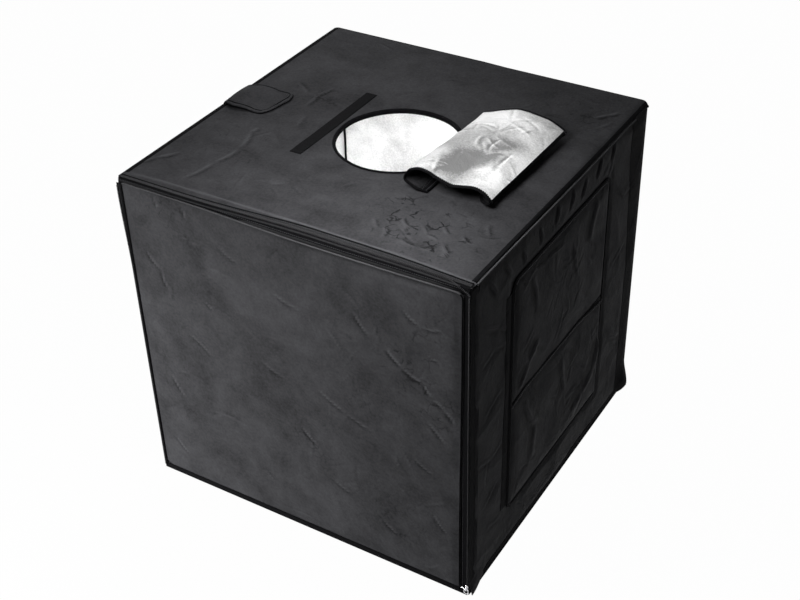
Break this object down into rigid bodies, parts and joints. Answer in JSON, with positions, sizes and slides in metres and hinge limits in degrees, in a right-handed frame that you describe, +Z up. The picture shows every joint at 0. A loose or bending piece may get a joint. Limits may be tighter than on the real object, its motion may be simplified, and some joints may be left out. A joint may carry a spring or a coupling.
{
  "type": "light tent cube",
  "caption": "Folding black fabric studio box with a silver inside, a zipped front door and a round shooting hole with a cover flap in its top.",
  "frame": {"origin": "centre of the flat underside of the base, on the surface that the tent stands on", "axes": "+Z up, -Y towards the front door, +X towards the wall with the pocket"},
  "size_m": [0.6084, 0.609, 0.6245],
  "materials": {
    "black_fabric": "matte coated woven nylon",
    "silver_lining": "crinkled metallic silver coating",
    "panel_board": "plain hollow board",
    "black_binding": "woven binding tape",
    "hook_and_loop": "hook and loop pile",
    "zip_tape": "woven tape with a nylon coil",
    "zip_metal": "nickel plated",
    "bar_aluminium": "satin anodised",
    "bar_cap": "moulded",
    "led_strip": "white board with yellow phosphor dots",
    "diffuser": "frosted"
  },
  "bodies": {
    "base": {"base_cover": "black_fabric", "base_board": "panel_board", "base_lining": "silver_lining", "rear_cover": "black_fabric", "rear_lining": "silver_lining"},
    "left_lower": {"left_lower_cover": "black_fabric", "left_lower_board": "panel_board", "left_lower_lining": "silver_lining", "left_lower_zip": "zip_tape"},
    "left_upper": {"left_upper_cover": "black_fabric", "left_upper_board": "panel_board", "left_upper_lining": "silver_lining", "left_upper_zip": "zip_tape"},
    "right_lower": {"right_lower_cover": "black_fabric", "right_lower_board": "panel_board", "right_lower_lining": "silver_lining", "right_lower_zip": "zip_tape", "pocket_lower": "black_fabric"},
    "right_upper": {"right_upper_cover": "black_fabric", "right_upper_board": "panel_board", "right_upper_lining": "silver_lining", "right_upper_zip": "zip_tape", "pocket_upper": "black_fabric"},
    "top": {"top_cover": "black_fabric", "top_board": "panel_board", "top_lining": "silver_lining", "top_zip": "zip_tape", "top_piping": "black_binding", "hole_binding": "black_binding", "loop_strip": "hook_and_loop", "flap_hem": "black_binding", "tab_root": "black_binding", "light_left_channel": "bar_aluminium", "light_left_leds": "led_strip", "light_left_diffuser": "diffuser", "light_left_front_cap": "bar_cap", "light_left_rear_cap": "bar_cap", "light_right_channel": "bar_aluminium", "light_right_leds": "led_strip", "light_right_diffuser": "diffuser", "light_right_front_cap": "bar_cap", "light_right_rear_cap": "bar_cap"},
    "door": {"door_panel": "black_fabric", "door_lining": "silver_lining", "door_zip_left": "zip_tape", "door_zip_top": "zip_tape", "door_zip_right": "zip_tape", "door_piping": "black_binding"},
    "slider": {"zip_slider": "zip_metal"},
    "pull": {"ring_pull": "zip_metal"},
    "flap_strip_1": {"flap_1": "black_fabric"},
    "flap_strip_2": {"flap_2": "black_fabric"},
    "flap_strip_3": {"flap_3": "black_fabric"},
    "flap_strip_4": {"flap_4": "black_fabric"},
    "flap_strip_5": {"flap_5": "black_fabric", "flap_hook_strip": "hook_and_loop"},
    "tab": {"closing_tab": "black_fabric", "tab_hook_patch": "hook_and_loop"}
  },
  "joints": [
    {"name": "fold", "type": "hinge", "parent": "base", "child": "left_lower", "pos_m": [-0.2949, 0, 0.0054], "axis": [0, 1, 0], "range_deg": [0, 82], "deforming": ["rear_cover", "rear_lining"]},
    {"name": "left_wall_fold", "type": "hinge", "parent": "left_lower", "child": "left_upper", "pos_m": [-0.3026, 0, 0.293], "axis": [0, 1, 0], "range_deg": [-164.1, 0]},
    {"name": "top_left_fold", "type": "hinge", "parent": "left_upper", "child": "top", "pos_m": [-0.2949, 0, 0.5806], "axis": [0, 1, 0], "range_deg": [0, 82.1]},
    {"name": "right_base_fold", "type": "hinge", "parent": "base", "child": "right_lower", "pos_m": [0.2949, 0, 0.0054], "axis": [0, 1, 0], "range_deg": [-82.1, 0]},
    {"name": "right_wall_fold", "type": "hinge", "parent": "right_lower", "child": "right_upper", "pos_m": [0.3026, 0, 0.293], "axis": [0, 1, 0], "range_deg": [0, 164.1]},
    {"name": "door_swing", "type": "hinge", "parent": "base", "child": "door", "pos_m": [0, -0.2977, 0.006], "axis": [1, 0, 0], "range_deg": [0, 90]},
    {"name": "slider_run", "type": "slide", "parent": "door", "child": "slider", "axis": [0, 0, 1], "range_m": [0, 0.55]},
    {"name": "pull_swing", "type": "hinge", "parent": "slider", "child": "pull", "pos_m": [0.2982, -0.3033, 0.0175], "axis": [-1, 0, 0], "range_deg": [0, 150]},
    {"name": "flap_root_bend", "type": "hinge", "parent": "top", "child": "flap_strip_1", "pos_m": [0.119, -0.003, 0.5899], "axis": [0, -1, 0], "range_deg": [0, 18.95]},
    {"name": "flap_unroll", "type": "hinge", "parent": "flap_strip_1", "child": "flap_strip_2", "pos_m": [0.0911, -0.003, 0.59945], "axis": [0, -1, 0], "range_deg": [0, 99.5]},
    {"name": "flap_bend_3", "type": "hinge", "parent": "flap_strip_2", "child": "flap_strip_3", "pos_m": [0.10413, -0.003, 0.62355], "axis": [0, -1, 0], "range_deg": [0, 65.15]},
    {"name": "flap_bend_4", "type": "hinge", "parent": "flap_strip_3", "child": "flap_strip_4", "pos_m": [0.21283, -0.003, 0.61691], "axis": [0, -1, 0], "range_deg": [0, 26.85]},
    {"name": "flap_bend_5", "type": "hinge", "parent": "flap_strip_4", "child": "flap_strip_5", "pos_m": [0.23929, -0.003, 0.60144], "axis": [0, -1, 0], "range_deg": [0, 132.55]},
    {"name": "tab_peel", "type": "hinge", "parent": "top", "child": "tab", "pos_m": [-0.2988, -0.0005, 0.5885], "axis": [0, -1, 0], "range_deg": [0, 160]}
  ],
  "couplings": [
    {"joint": "left_wall_fold", "follows": "fold", "ratio": -2},
    {"joint": "top_left_fold", "follows": "fold", "ratio": 1},
    {"joint": "right_base_fold", "follows": "fold", "ratio": -1},
    {"joint": "right_wall_fold", "follows": "fold", "ratio": 2},
    {"joint": "flap_root_bend", "follows": "flap_unroll", "ratio": 0.18995},
    {"joint": "flap_bend_3", "follows": "flap_unroll", "ratio": 0.65427},
    {"joint": "flap_bend_4", "follows": "flap_unroll", "ratio": 0.26935},
    {"joint": "flap_bend_5", "follows": "flap_unroll", "ratio": 1.3317}
  ]
}
